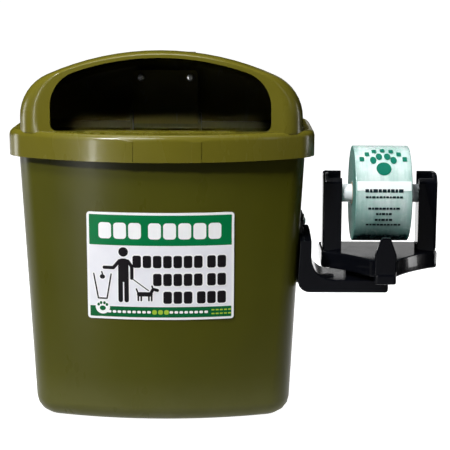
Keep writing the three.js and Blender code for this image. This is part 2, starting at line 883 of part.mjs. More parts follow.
function bagEndSolid() {
  const inner = roll.radius + gap;
  const outer = inner + bagEnd.thickness;
  const from = Math.PI - THREE.MathUtils.degToRad(bagEnd.top);
  const to = Math.PI - THREE.MathUtils.degToRad(bagEnd.bottom);
  const outline = [
    ...arc(0, spindle.height, outer, from, to, 16),
    ...arc(0, spindle.height, inner, to, from, 16),
  ];
  const half = roll.width / 2 - bagEnd.inset;
  return extrude('x', outline, cradle.x - half, cradle.x + half);
}

// The whole bin

add('tub', tubSolid(), olive);
add('front_label', labelSolid(), print);
add('lid', lidSolid(), olive);
add('wall_bracket', bracketSolid(), steel);
bracketSites.forEach((matrix, i) => addBolt(`bracket_${['left', 'right'][i]}`, matrix, bracketGrip));

add('side_plate', sidePlate(), black);
plateSites.forEach((matrix, i) => addBolt(`plate_${['front', 'rear'][i]}`, matrix, plateGrip));
add('holder_arm', armSolid(), black);
armSites.forEach((matrix, i) => addBolt(`arm_${['front', 'rear'][i]}`, matrix, armGrip));

add('cradle_base', cradleSolid(), black);
cradleScrews.forEach((matrix, i) => {
  const length = cradleHole - bolt.tipSpace;
  add(`cradle_screw_${['left', 'right'][i]}`, screw(length), steel, groupAt(matrix));
});
['left', 'right'].forEach((name, i) => {
  add(`${name}_upright`, uprightSolid(i ? 1 : -1), black);
  const length = uprightHole - bolt.tipSpace;
  add(`${name}_upright_screw`, screw(length), steel, groupAt(uprightScrews[i]));
});
add('tear_finger', fingerSolid(), black);
add('finger_screw', screw(fingerHole - bolt.tipSpace), steel, groupAt(fingerScrew));

const { radius, wall, halfLength } = spindle;
add('spindle_tube', ring(radius, radius - wall, halfLength, 24), white);
add('roll_core', ring(roll.coreRadius + roll.coreWall, roll.coreRadius, roll.width / 2, 24), card);
add('bag_roll', ring(roll.radius, rollInner, roll.width / 2, 32), film);
add('loose_bag_end', bagEndSolid(), film);

export default bin;
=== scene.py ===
import json
import math

import bmesh
import bpy
from mathutils import Matrix, Vector, noise


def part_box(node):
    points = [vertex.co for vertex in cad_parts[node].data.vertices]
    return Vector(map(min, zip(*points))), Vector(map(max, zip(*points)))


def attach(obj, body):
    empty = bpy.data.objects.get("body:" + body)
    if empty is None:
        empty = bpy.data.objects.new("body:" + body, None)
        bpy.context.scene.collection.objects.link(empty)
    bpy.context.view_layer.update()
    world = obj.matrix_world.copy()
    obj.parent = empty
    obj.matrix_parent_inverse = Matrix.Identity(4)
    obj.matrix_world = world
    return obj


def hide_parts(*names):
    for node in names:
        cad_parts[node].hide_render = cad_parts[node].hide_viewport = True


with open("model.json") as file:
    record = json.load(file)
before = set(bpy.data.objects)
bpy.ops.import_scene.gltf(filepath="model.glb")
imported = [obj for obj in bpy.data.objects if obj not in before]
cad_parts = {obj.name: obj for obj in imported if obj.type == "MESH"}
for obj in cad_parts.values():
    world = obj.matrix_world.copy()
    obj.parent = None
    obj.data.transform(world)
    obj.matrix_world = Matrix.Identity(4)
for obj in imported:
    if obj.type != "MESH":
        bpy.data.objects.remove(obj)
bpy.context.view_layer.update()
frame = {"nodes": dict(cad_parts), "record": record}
scene = bpy.context.scene
scene.view_settings.view_transform = "Standard"
print("frame loaded:", len(frame["nodes"]), "nodes")


# small tools used by every piece; lengths are in metres, angles in degrees

merging = {"cad": 0.00002, "made": 0.000005, "flatAngle": 0.4}


def deselectAll():
    if bpy.context.object and bpy.context.object.mode == "EDIT":
        bpy.ops.object.mode_set(mode="OBJECT")
    bpy.ops.object.select_all(action="DESELECT")


def makeActive(piece):
    deselectAll()
    piece.select_set(True)
    bpy.context.view_layer.objects.active = piece


def named(name):
    # the primitive just added gets its name and its material list emptied
    piece = bpy.context.object
    piece.name = name
    piece.data.name = name
    piece.data.materials.clear()
    return piece


def enterEdit(piece, mode="FACE"):
    makeActive(piece)
    bpy.ops.object.mode_set(mode="EDIT")
    bpy.ops.mesh.select_mode(type=mode)
    bpy.ops.mesh.select_all(action="DESELECT")


def leaveEdit():
    bpy.ops.object.mode_set(mode="OBJECT")


def selectWhere(piece, kind, test):
    # kind is "faces", "edges" or "verts"; test gets the element in edit mode
    mesh = bmesh.from_edit_mesh(piece.data)
    for element in getattr(mesh, kind):
        element.select_set(bool(test(element)))
    mesh.select_flush_mode()
    bmesh.update_edit_mesh(piece.data)


def applyAll(piece):
    makeActive(piece)
    for modifier in list(piece.modifiers):
        bpy.ops.object.modifier_apply(modifier=modifier.name)


def settle(piece):
    # puts the object's place, turn and size into its mesh
    makeActive(piece)
    bpy.ops.object.transform_apply(location=True, rotation=True, scale=True)


def smooth(piece, angle=35):
    makeActive(piece)
    bpy.ops.object.shade_smooth_by_angle(angle=math.radians(angle))


def addBevel(piece, width, angle=30, segments=2):
    bevel = piece.modifiers.new("rounded edges", "BEVEL")
    bevel.width = width
    bevel.segments = segments
    bevel.limit_method = "ANGLE"
    bevel.angle_limit = math.radians(angle)
    bevel.miter_outer = "MITER_ARC"
    bevel.use_clamp_overlap = True


def flattenShading(piece):
    weighted = piece.modifiers.new("flat sides stay flat", "WEIGHTED_NORMAL")
    weighted.weight = 60
    weighted.keep_sharp = True


def recalculate(piece):
    enterEdit(piece)
    bpy.ops.mesh.select_all(action="SELECT")
    bpy.ops.mesh.remove_doubles(threshold=merging["made"])
    bpy.ops.mesh.normals_make_consistent(inside=False)
    leaveEdit()


def finishPiece(piece, body, slot, material, *nodes):
    piece.data.materials.clear()
    piece.data.materials.append(material)
    for polygon in piece.data.polygons:
        polygon.material_index = 0
    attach(piece, body)
    if nodes:
        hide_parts(*nodes)
    return piece


def refinedCopy(node, name, edge, edgeAngle=30, smoothAngle=35, segments=2, corners=None):
    # a merged copy of a moulded part, its edges rounded as the mould leaves them;
    # corners = (width, test) cuts the edges that pass the test to a flat chamfer first
    piece = bpy.data.objects.new(name, frame["nodes"][node].data.copy())
    scene.collection.objects.link(piece)
    enterEdit(piece, "EDGE")
    bpy.ops.mesh.select_all(action="SELECT")
    bpy.ops.mesh.remove_doubles(threshold=merging["cad"])
    bpy.ops.mesh.dissolve_limited(angle_limit=math.radians(merging["flatAngle"]))
    if corners:
        selectWhere(piece, "edges", corners[1])
        bpy.ops.mesh.bevel(offset=corners[0], segments=1, affect="EDGES", clamp_overlap=True)
    leaveEdit()
    if edge:
        addBevel(piece, edge, edgeAngle, segments)
        applyAll(piece)
    smooth(piece, smoothAngle)
    flattenShading(piece)
    applyAll(piece)
    return piece


def hollowCylinder(name, sides, radius, low, high, insets):
    # along X from low to high, each end inset by (thickness, depth) in turn and then bored
    # through; it is left in edit mode
    deselectAll()
    bpy.ops.mesh.primitive_cylinder_add(vertices=sides, radius=radius, depth=high.x - low.x,
                                        location=(low + high) / 2, rotation=(0, math.pi / 2, 0))
    piece = named(name)
    settle(piece)
    enterEdit(piece)
    selectWhere(piece, "faces", lambda f: abs(f.normal.x) > 0.9)
    for thickness, depth in insets:
        bpy.ops.mesh.inset(thickness=thickness, depth=depth, use_individual=True)
    bpy.ops.mesh.delete(type="ONLY_FACE")
    bpy.ops.mesh.select_mode(type="EDGE")
    selectWhere(piece, "edges", lambda e: e.is_boundary)
    bpy.ops.mesh.bridge_edge_loops()
    return piece


# materials, each built of nodes on Object coordinates

class Nodes:
    def __init__(self, name):
        self.material = bpy.data.materials.new(name)
        self.material.use_nodes = True
        self.tree = self.material.node_tree
        self.shader = self.tree.nodes["Principled BSDF"]
        self.place = self.add("ShaderNodeTexCoord").outputs["Object"]

    def add(self, kind, **settings):
        node = self.tree.nodes.new(kind)
        for key, value in settings.items():
            setattr(node, key, value)
        return node

    def link(self, output, inputSocket):
        self.tree.links.new(output, inputSocket)

    def noise(self, scale, detail=3, roughness=0.5, stretch=(1, 1, 1)):
        # patterns are given in repeats per metre
        texture = self.add("ShaderNodeTexNoise")
        texture.inputs["Scale"].default_value = scale
        texture.inputs["Detail"].default_value = detail
        texture.inputs["Roughness"].default_value = roughness
        mapping = self.add("ShaderNodeMapping")
        mapping.inputs["Scale"].default_value = stretch
        self.link(self.place, mapping.inputs["Vector"])
        self.link(mapping.outputs["Vector"], texture.inputs["Vector"])
        return texture.outputs["Fac"]

    def span(self, value, low, high, fromLow=0.3, fromHigh=0.7):
        ramp = self.add("ShaderNodeMapRange")
        ramp.inputs["From Min"].default_value = fromLow
        ramp.inputs["From Max"].default_value = fromHigh
        ramp.inputs["To Min"].default_value = low
        ramp.inputs["To Max"].default_value = high
        self.link(value, ramp.inputs["Value"])
        return ramp.outputs["Result"]

    def mixColors(self, factor, first, second):
        mix = self.add("ShaderNodeMix", data_type="RGBA")
        self.link(factor, mix.inputs["Factor"])
        for socket, color in ((mix.inputs[6], first), (mix.inputs[7], second)):
            if hasattr(color, "is_output"):
                self.link(color, socket)
            else:
                socket.default_value = (*color, 1)
        return mix.outputs[2]

    def axis(self, letter):
        split = self.add("ShaderNodeSeparateXYZ")
        self.link(self.place, split.inputs["Vector"])
        return split.outputs[letter]

    def bump(self, height, strength, distance, under=None):
        node = self.add("ShaderNodeBump")
        node.inputs["Strength"].default_value = strength
        node.inputs["Distance"].default_value = distance
        self.link(height, node.inputs["Height"])
        if under is not None:
            self.link(under, node.inputs["Normal"])
        return node.outputs["Normal"]


moldRelief = {"peel": 0.0004, "grain": 0.0001}


def moldedPlastic(name, look):
    # cloudy colour, a paler patchy tint towards the foot where it is asked for, and the mould's
    # fine grain
    m = Nodes(name)
    broad = m.noise(look["cloud"], 4, 0.55)
    color = m.mixColors(m.span(broad, 0, 1), look["color"], look["shade"])
    if "footTint" in look:
        low = m.span(m.axis("Z"), look["footTintAmount"], 0, 0, look["footTintHeight"])
        patch = m.noise(look["footTintPatch"], 5, 0.65)
        amount = m.add("ShaderNodeMath", operation="MULTIPLY")
        m.link(low, amount.inputs[0])
        m.link(m.span(patch, 0.55, 1), amount.inputs[1])
        color = m.mixColors(amount.outputs[0], color, look["footTint"])
    m.link(color, m.shader.inputs["Base Color"])
    smear = m.noise(look["smear"], 3, 0.6, (1, 1, 0.35))
    m.link(m.span(smear, *look["gloss"]), m.shader.inputs["Roughness"])
    m.shader.inputs["Specular IOR Level"].default_value = look["specular"]
    m.shader.inputs["Coat Weight"].default_value = look["coat"]
    m.shader.inputs["Coat Roughness"].default_value = look["coatRoughness"]
    peel = m.bump(m.noise(look["peel"], 2, 0.5), look["peelStrength"], moldRelief["peel"])
    grain = m.bump(m.noise(look["grain"], 2, 0.6), look["grainStrength"], moldRelief["grain"],
                   peel)
    m.link(grain, m.shader.inputs["Normal"])
    return m.material


# one olive plastic in two tones: the tub's copy is darker, a painted shade
tubPlasticPaintedShade = moldedPlastic("olive_tub_plastic", {
    "color": (0.070, 0.069, 0.0050), "shade": (0.060, 0.059, 0.0042), "cloud": 7,
    "footTint": (0.17, 0.17, 0.08), "footTintAmount": 0.34, "footTintHeight": 0.06,
    "footTintPatch": 38,
    "smear": 26, "gloss": (0.26, 0.36), "specular": 0.14, "coat": 0.05, "coatRoughness": 0.10,
    "peel": 160, "peelStrength": 0.10, "grain": 1500, "grainStrength": 0.12,
})
# the lid's copy of the same olive plastic is lighter, a painted light
lidPlasticPaintedLight = moldedPlastic("olive_lid_plastic", {
    "color": (0.140, 0.124, 0.013), "shade": (0.120, 0.106, 0.010), "cloud": 9,
    "smear": 30, "gloss": (0.20, 0.32), "specular": 0.24, "coat": 0.14, "coatRoughness": 0.08,
    "peel": 150, "peelStrength": 0.12, "grain": 1500, "grainStrength": 0.10,
})
blackPlastic = moldedPlastic("black_plastic_gloss", {
    "color": (0.0032, 0.0036, 0.0058), "shade": (0.0024, 0.0027, 0.0040), "cloud": 30,
    "smear": 60, "gloss": (0.16, 0.24), "specular": 0.18, "coat": 0.45, "coatRoughness": 0.04,
    "peel": 260, "peelStrength": 0.07, "grain": 2200, "grainStrength": 0.06,
})
whitePlastic = moldedPlastic("white_tube_plastic", {
    "color": (0.74, 0.79, 0.80), "shade": (0.68, 0.73, 0.75), "cloud": 55,
    "smear": 90, "gloss": (0.28, 0.4), "specular": 0.4, "coat": 0.1, "coatRoughness": 0.1,
    "peel": 300, "peelStrength": 0.05, "grain": 1800, "grainStrength": 0.08,
})

zincLook = {"bright": (0.62, 0.62, 0.60), "dull": (0.50, 0.52, 0.55), "crystals": 420,
            "smear": 900, "gloss": (0.22, 0.42),
            "grain": 2600, "grainStrength": 0.12, "grainDepth": 0.0001}
cardLook = {"pale": (0.40, 0.28, 0.16), "brown": (0.27, 0.18, 0.10), "fibre": 1400,
            "gloss": (0.75, 0.92), "fibreStrength": 0.35, "fibreDepth": 0.0002}
inkLook = {"patches": 45, "dots": 3200, "dotTone": 0.7, "dotShare": 0.06, "smear": 70,
           "specular": 0.10, "dotStrength": 0.05, "dotDepth": 0.0001}


def zincSteel(name):
    m = Nodes(name)
    crystals = m.noise(zincLook["crystals"], 4, 0.6)
    color = m.mixColors(m.span(crystals, 0, 1), zincLook["bright"], zincLook["dull"])
    m.link(color, m.shader.inputs["Base Color"])
    m.shader.inputs["Metallic"].default_value = 1
    m.link(m.span(m.noise(zincLook["smear"], 3, 0.6), *zincLook["gloss"]),
           m.shader.inputs["Roughness"])
    m.link(m.bump(m.noise(zincLook["grain"], 2, 0.5), zincLook["grainStrength"],
                  zincLook["grainDepth"]), m.shader.inputs["Normal"])
    return m.material


def cardboard(name):
    m = Nodes(name)
    fibre = m.noise(cardLook["fibre"], 4, 0.7, (0.25, 1, 1))
    color = m.mixColors(m.span(fibre, 0, 1), cardLook["pale"], cardLook["brown"])
    m.link(color, m.shader.inputs["Base Color"])
    m.link(m.span(fibre, *cardLook["gloss"]), m.shader.inputs["Roughness"])
    m.link(m.bump(fibre, cardLook["fibreStrength"], cardLook["fibreDepth"]),
           m.shader.inputs["Normal"])
    return m.material


def printInk(name, color, shade, gloss=(0.30, 0.42)):
    # a print on vinyl, also used for the roll's painted highlight band: faint dot texture, slightly
    # uneven ink
    m = Nodes(name)
    uneven = m.noise(inkLook["patches"], 4, 0.6)
    dots = m.noise(inkLook["dots"], 1, 0.4)
    tone = m.mixColors(m.span(uneven, 0, 1), color, shade)
    speckled = m.mixColors(m.span(dots, 0, inkLook["dotShare"]), tone,
                           tuple(inkLook["dotTone"] * c for c in shade))
    m.link(speckled, m.shader.inputs["Base Color"])
    m.link(m.span(m.noise(inkLook["smear"], 3, 0.5), *gloss), m.shader.inputs["Roughness"])
    m.shader.inputs["Specular IOR Level"].default_value = inkLook["specular"]
    m.link(m.bump(dots, inkLook["dotStrength"], inkLook["dotDepth"]), m.shader.inputs["Normal"])
    return m.material


steel = zincSteel("bright_zinc_steel")
plainCard = cardboard("plain_card")
inks = {
    "white": printInk("white_vinyl", (0.96, 0.96, 0.97), (0.92, 0.92, 0.94)),
    "panel": printInk("pale_panel_ink", (0.88, 0.88, 0.93), (0.84, 0.84, 0.90)),
    "green": printInk("green_ink", (0.001, 0.185, 0.055), (0.001, 0.165, 0.048)),
    "darkGreen": printInk("dark_green_ink", (0.002, 0.125, 0.035), (0.002, 0.105, 0.028)),
    "black": printInk("black_ink", (0.012, 0.010, 0.012), (0.008, 0.007, 0.009)),
    "yellow": printInk("yellow_green_ink", (0.42, 0.60, 0.06), (0.34, 0.52, 0.05)),
}
# a CAD node that is not replaced below keeps its shape and gets its slot's finish
slotFinish = {"zinc_steel": steel, "black_plastic": blackPlastic, "white_plastic": whitePlastic,
              "cardboard": plainCard, "printed_label": inks["white"]}
for node, item in frame["nodes"].items():
    slotName = next(p["material_slot"] for p in frame["record"]["subparts"] if p["node"] == node)
    finish = slotFinish.get(slotName, tubPlasticPaintedShade)
    for materialSlot in item.material_slots:
        materialSlot.material = finish
print("materials made")


# camera, floor and light: a long lens from the front, ten degrees down

studio = {
    "camera": (0.080, -1.868, 0.570), "pitch": 80, "lean": 0.26, "lens": 116,
    "floorSize": 70, "floorHeight": -0.0005, "floorGlow": 1.06,
    # the bounce card's glow in front and behind, and where it changes over
    "cardGlow": (0.02, 1.0), "cardFade": (-0.35, 0.20), "cardSize": 6,
    "cardPlace": (-2.3, 0, -0.001),
    "white": (0.60, 0.60, 0.60), "worn": (0.57, 0.57, 0.57), "dark": (0.10, 0.10, 0.10),
    "roughness": 0.9, "specular": 0.1, "clouds": 2.5,
}
objectCentre = (0.05, 0, 0.25)
lamps = [
    {"name": "key", "place": (-1.0, -1.6, 1.75), "target": objectCentre,
     "size": (0.3, 0.3), "power": 45},
    {"name": "high", "place": (-0.5, -1.2, 2.3), "target": objectCentre,
     "size": (0.7, 0.5), "power": 38},
    # three for the dispenser: low from the left, from above, and from far behind its deck
    {"name": "low", "place": (-0.95, -1.30, -0.10), "target": (0.30, -0.05, 0.16),
     "size": (0.12, 0.5), "power": 3, "glossOnly": True},
    {"name": "above", "place": (0.47, -0.35, 1.5), "target": (0.29, 0, 0.25),
     "size": (0.4, 0.4), "power": 0.7},
    {"name": "deck", "place": (0.60, 2.2, 0.62), "target": (0.29, 0, 0.16),
     "size": (0.45, 0.5), "power": 0.35, "glossOnly": True},
    # the upright highlight on the skirt
    {"name": "strip", "place": (-1.02, -1.43, 0.42), "target": (-0.08, -0.12, 0.36),
     "size": (0.10, 0.8), "power": 6, "glossOnly": True},
    # softboxes beside the object light the edges of its rounded sides
    {"name": "left_side", "place": (-1.7, 0.25, 0.25), "target": (0, 0, 0.25),
     "size": (0.5, 0.9), "power": 9, "glossOnly": True},
    {"name": "right_side", "place": (2.0, 0.35, 0.25), "target": (0.2, 0, 0.25),
     "size": (0.35, 0.9), "power": 5, "glossOnly": True},
    # a narrow beam through the mouth finds the rear of the tub's rim
    {"name": "mouth", "place": (0, -0.50, 0.475), "target": (0, 0.09, 0.355),
     "size": (0.24, 0.008), "power": 0.010, "spread": 4},
    {"name": "fill", "place": (1.7, -1.2, 1.0), "target": (0.25, 0, 0.2),
     "size": (0.3, 1.2), "power": 2},
    {"name": "top", "place": (-0.2, 0.4, 2.0), "target": objectCentre,
     "size": (1.2, 0.8), "power": 13},
]


def areaLight(name, place, target, size, power, glossOnly=False, spread=180):
    # a lamp that the camera never sees; one for gloss only leaves the matt shading alone
    lamp = bpy.data.lights.new(name, "AREA")
    lamp.shape = "RECTANGLE"
    lamp.size, lamp.size_y = size
    lamp.energy = power
    lamp.spread = math.radians(spread)
    item = bpy.data.objects.new(name, lamp)
    item.location = place
    item.visible_camera = False
    item.visible_diffuse = not glossOnly
    item.rotation_euler = (Vector(target) - Vector(place)).to_track_quat("-Z", "Y").to_euler()
    scene.collection.objects.link(item)


def glowing(name, strength, fadeFrom=None):
    m = Nodes(name)
    tone = m.mixColors(m.span(m.noise(studio["clouds"], 2), 0, 1), studio["white"], studio["worn"])
    if fadeFrom:
        tone = m.mixColors(m.span(m.axis("Y"), 1, 0, *fadeFrom), tone, studio["dark"])
    m.link(tone, m.shader.inputs["Base Color"])
    m.shader.inputs["Roughness"].default_value = studio["roughness"]
    m.shader.inputs["Specular IOR Level"].default_value = studio["specular"]
    m.shader.inputs["Emission Color"].default_value = (1, 1, 1, 1)
    if fadeFrom:
        m.link(m.span(m.axis("Y"), *strength, *fadeFrom), m.shader.inputs["Emission Strength"])
    else:
        m.shader.inputs["Emission Strength"].default_value = strength
    return m.material


def setStudio():
    camera = bpy.data.objects.new("camera", bpy.data.cameras.new("camera"))
    camera.data.lens = studio["lens"]
    camera.location = studio["camera"]
    pitch = Matrix.Rotation(math.radians(studio["pitch"]), 3, "X")
    lean = Matrix.Rotation(math.radians(studio["lean"]), 3, "Z")
    camera.rotation_euler = (pitch @ lean).to_euler()
    scene.collection.objects.link(camera)
    scene.camera = camera

    world = bpy.data.worlds.new("soft room")
    scene.world = world
    world.use_nodes = True
    background = world.node_tree.nodes["Background"]
    background.inputs["Color"].default_value = (1, 1, 1, 1)
    background.inputs["Strength"].default_value = 1
    # the room is a white backdrop only: the lamps and the card do the lighting
    world.cycles_visibility.diffuse = False
    world.cycles_visibility.glossy = False

    deselectAll()
    bpy.ops.mesh.primitive_plane_add(size=studio["floorSize"],
                                     location=(0, 0, studio["floorHeight"]))
    floor = named("studio_floor")
    floor.data.materials.append(glowing("pale_floor", studio["floorGlow"]))
    floor.visible_glossy = False
    floor.visible_diffuse = False
    floor.visible_shadow = False

    # a card under the object, bright behind it and dark in front, is seen only in reflections
    deselectAll()
    bpy.ops.mesh.primitive_plane_add(size=studio["cardSize"], location=studio["cardPlace"])
    card = named("bounce_card")
    card.data.materials.append(
        glowing("bounce_card_white", studio["cardGlow"], studio["cardFade"]))
    card.visible_camera = False
    card.visible_shadow = False

    for lamp in lamps:
        areaLight(**lamp)


setStudio()
print("studio set")


# tub and lid

shells = [
    {"node": "tub", "name": "molded_tub", "edge": 0.0008, "plastic": tubPlasticPaintedShade},
    {"node": "lid", "name": "hooded_lid", "edge": 0.0012, "plastic": lidPlasticPaintedLight},
]
shellAngle = 40
for shell in shells:
    piece = refinedCopy(shell["node"], shell["name"], shell["edge"], edgeAngle=shellAngle,
                        smoothAngle=shellAngle)
    finishPiece(piece, shell["node"], "olive_plastic", shell["plastic"], shell["node"])
print("tub and lid made")


# label: a skin on the bowed front, and its print in thin layers of ink

label = {
    "corner": 0.004, "thickness": 0.0005, "border": 0.0031, "layer": 0.00006,
    "header": 0.0385,  # height of the green heading field
    "footer": 0.0135,  # height of the dark green strip
    "step": 0.006,  # distance between the cuts that let the print follow the bow
    "near": 0.0002,  # vertices this close to an edge are on it
    "barCorner": 0.0008, "panelSpace": 0.001, "smoothAngle": 30,
}
labelLow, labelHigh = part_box("front_label")


def bowDepth(edgeZ):
    # depth at the middle and bow radius of the label's face along its top or bottom edge
    points = [v.co for v in frame["nodes"]["front_label"].data.vertices]
    row = [p for p in points if abs(p.z - edgeZ) < label["near"]]
    middleY = min(p.y for p in row)
    widest = max(row, key=lambda p: abs(p.x))
    outer = min(p.y for p in row if abs(abs(p.x) - abs(widest.x)) < label["near"])
    sag = outer - middleY
    return middleY, (widest.x ** 2 + sag ** 2) / (2 * sag)


labelLevels = [bowDepth(labelLow.z), bowDepth(labelHigh.z)]


def onFront(x, z, proud):
    # a place on the tub's bowed front, between the label's bottom and top edges
    t = (z - labelLow.z) / (labelHigh.z - labelLow.z)
    depth = labelLevels[0][0] + t * (labelLevels[1][0] - labelLevels[0][0])
    radius = labelLevels[0][1] + t * (labelLevels[1][1] - labelLevels[0][1])
    return Vector((x, depth + radius - math.sqrt(radius ** 2 - x ** 2) - proud, z))


def addBar(x, z, width, height, corner=0.0, turn=0.0):
    # a flat bar standing in the XZ plane, in the mesh being edited; a corner stays just under
    # half of the bar
    bpy.ops.mesh.select_all(action="DESELECT")
    bpy.ops.mesh.primitive_plane_add(size=1, location=(x, 0, z), rotation=(math.pi / 2, 0, 0))
    bpy.ops.transform.resize(value=(width, 1, height), center_override=(x, 0, z))
    if corner:
        bpy.ops.mesh.bevel(offset=min(corner, 0.499 * min(width, height)), segments=5,
                           affect="VERTICES")
    if turn:
        bpy.ops.transform.rotate(value=math.radians(turn), orient_axis="Y",
                                 center_override=(x, 0, z))


def addLimb(x0, z0, x1, z1, width):
    # a round-ended stroke from one point to another
    length = math.hypot(x1 - x0, z1 - z0)
    addBar((x0 + x1) / 2, (z0 + z1) / 2, length + width, width, width / 2,
           math.degrees(math.atan2(z1 - z0, x1 - x0)))


def addSpot(x, z, radius, sides=28, squeeze=1.0):
    bpy.ops.mesh.select_all(action="DESELECT")
    bpy.ops.mesh.primitive_circle_add(vertices=sides, radius=radius, fill_type="NGON",
                                      location=(x, 0, z), rotation=(math.pi / 2, 0, 0))
    bpy.ops.transform.resize(value=(1, 1, squeeze), center_override=(x, 0, z))


def printLayer(name, draw, ink, wrap, body, slot, cuts):
    # draws flat shapes, cuts them into strips and lays them on the surface
    deselectAll()
    bpy.ops.mesh.primitive_plane_add(size=0.001)
    piece = named(name)
    bpy.ops.object.mode_set(mode="EDIT")
    bpy.ops.mesh.select_all(action="SELECT")
    bpy.ops.mesh.delete(type="VERT")
    bpy.ops.mesh.select_mode(type="VERT")
    draw()
    for axis, place in cuts:
        bpy.ops.mesh.select_all(action="SELECT")
        bpy.ops.mesh.bisect(plane_co=Vector(axis) * place, plane_no=axis)
    leaveEdit()
    settle(piece)
    for vertex in piece.data.vertices:
        vertex.co = wrap(vertex.co)
    finishPiece(piece, body, slot, ink)
    return piece


def stations(low, high, step):
    count = max(2, math.ceil((high - low) / step))
    return [low + (high - low) * i / count for i in range(1, count)]


labelCuts = [((1, 0, 0), x) for x in stations(labelLow.x, labelHigh.x, label["step"])]
labelWidth = labelHigh.x - labelLow.x
labelMiddle = (labelLow.z + labelHigh.z) / 2


def labelSkin():
    skin = printLayer(
        "vinyl_label",
        lambda: addBar(0, labelMiddle, labelWidth, labelHigh.z - labelLow.z, label["corner"]),
        inks["white"], lambda p: onFront(p.x, p.z, 0), "tub", "printed_label", labelCuts)
    thickness = skin.modifiers.new("vinyl", "SOLIDIFY")
    thickness.thickness = label["thickness"]
    thickness.offset = -1
    applyAll(skin)
    recalculate(skin)
    smooth(skin, label["smoothAngle"])
    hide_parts("front_label")


labelSkin()
border = label["border"]
fieldWidth = labelWidth - 2 * border
headerTop = labelHigh.z - border
headerBottom = headerTop - label["header"]
footerBottom = labelLow.z + border
footerTop = footerBottom + label["footer"]

# the words are left as rows of plain blocks: how many stand in each group, and how far a row's
# middle is below the top of its field
heading = {"left": -0.0765, "drop": 0.0200, "groups": (3, 5), "width": 0.0158, "height": 0.0205,
           "corner": 0.0042, "space": 0.0028, "groupSpace": 0.0088}
request = {"right": 0.0815, "rows": [(0.0205, (7, 2)), (0.0435, (5, 2)), (0.0665, (3, 3))],
           "width": 0.0106, "height": 0.0158, "corner": 0.0028, "space": 0.0021,
           "groupSpace": 0.0058}


def drawHeading():
    x = heading["left"]
    for group in heading["groups"]:
        for _ in range(group):
            addBar(x + heading["width"] / 2, headerTop - heading["drop"], heading["width"],
                   heading["height"], heading["corner"])
            x += heading["width"] + heading["space"]
        x += heading["groupSpace"] - heading["space"]


def drawRequest(grow):
    for drop, groups in request["rows"]:
        x = request["right"]
        for group in reversed(groups):
            for _ in range(group):
                addBar(x - request["width"] / 2, headerBottom - drop, request["width"] + grow,
                       request["height"] + grow, request["corner"] + grow / 2)
                x -= request["width"] + request["space"]
            x -= request["groupSpace"] - request["space"]


# a walker with a dog beside a bin; places in metres from the panel's lower left corner
figure = {
    "head": (0.0425, 0.0705), "headRadius": 0.0060,
    "shoulder": (0.0425, 0.0585), "hip": (0.0425, 0.0355),
    "torsoWidth": 0.0130, "torsoLap": 0.55, "torsoCorner": 0.36,
    "legSpread": 0.0037, "legWidth": 0.0058, "foot": 0.0085,
    # each stroke is its points and its width: the two arms, the leash, then the dog's body,
    # tail, neck, head and ear
    "strokes": [
        ([(0.0375, 0.0590), (0.0300, 0.0500), (0.0185, 0.0500)], 0.0043),
        ([(0.0480, 0.0590), (0.0530, 0.0520), (0.0530, 0.0370)], 0.0043),
        ([(0.0530, 0.0368), (0.0735, 0.0215)], 0.0013),
        ([(0.0620, 0.0165), (0.0760, 0.0165)], 0.0058),
    ],
    "dogFeet": (0.0608, 0.0645, 0.0740, 0.0775), "dogLeg": (0.0145, 0.0085), "dogLegWidth": 0.0022,
    "dogStrokes": [
        ([(0.0605, 0.0180), (0.0585, 0.0232)], 0.0020),
        ([(0.0765, 0.0180), (0.0790, 0.0225)], 0.0040),
        ([(0.0795, 0.0232), (0.0848, 0.0218)], 0.0040),
        ([(0.0788, 0.0245), (0.0780, 0.0272)], 0.0020),
    ],
    # the bin is an open outline, with a tied bag over it
    "binTop": (0.0050, 0.0270, 0.0415), "binFoot": (0.0105, 0.0215, 0.0100), "binLine": 0.0018,
    "bagDrop": 0.0035, "bagRadius": 0.0033, "bagSides": 20, "bagSquash": 0.9,
    "knot": (-0.0008, 0.0026), "knotWidth": 0.0018,
}
panelLeft = labelLow.x + border
panelFoot = footerTop


def at(x, z):
    return panelLeft + x, panelFoot + z


def stroke(points, width):
    for start, end in zip(points, points[1:]):
        addLimb(*at(*start), *at(*end), width)


def drawWalker(grow):
    addSpot(*at(*figure["head"]), figure["headRadius"] + grow)
    (shoulderX, shoulderZ), (hipX, hipZ) = figure["shoulder"], figure["hip"]
    width = figure["torsoWidth"] + 2 * grow
    addBar(*at(shoulderX, (shoulderZ + hipZ) / 2), width,
           shoulderZ - hipZ + width * figure["torsoLap"], width * figure["torsoCorner"])
    for side in (-1, 1):
        leg = hipX + side * figure["legSpread"]
        stroke([(leg, hipZ), (leg, figure["foot"])], figure["legWidth"] + 2 * grow)
    for points, lineWidth in figure["strokes"]:
        stroke(points, lineWidth + 2 * grow)
    top, foot = figure["dogLeg"]
    for x in figure["dogFeet"]:
        stroke([(x, top), (x, foot)], figure["dogLegWidth"] + 2 * grow)
    for points, lineWidth in figure["dogStrokes"]:
        stroke(points, lineWidth + 2 * grow)
    left, right, top = figure["binTop"]
    footLeft, footRight, foot = figure["binFoot"]
    middle = (left + right) / 2
    stroke([(left, top), (footLeft, foot), (footRight, foot), (right, top)],
           figure["binLine"] + 2 * grow)
    addSpot(*at(middle, top - figure["bagDrop"]), figure["bagRadius"] + grow,
            figure["bagSides"], figure["bagSquash"])
    knotX, knotZ = figure["knot"]
    stroke([(middle, top), (middle + knotX, top + knotZ)], figure["knotWidth"] + 2 * grow)


# shares of the paw's size: the pad, and each toe by its angle and its distance
pawShape = {"padDrop": 0.20, "pad": 0.44, "padSquash": 0.80, "toe": 0.19, "toeStretch": 1.2,
            "toes": ((30, 0.66), (68, 0.62), (112, 0.62), (150, 0.66)), "spread": 1.05}


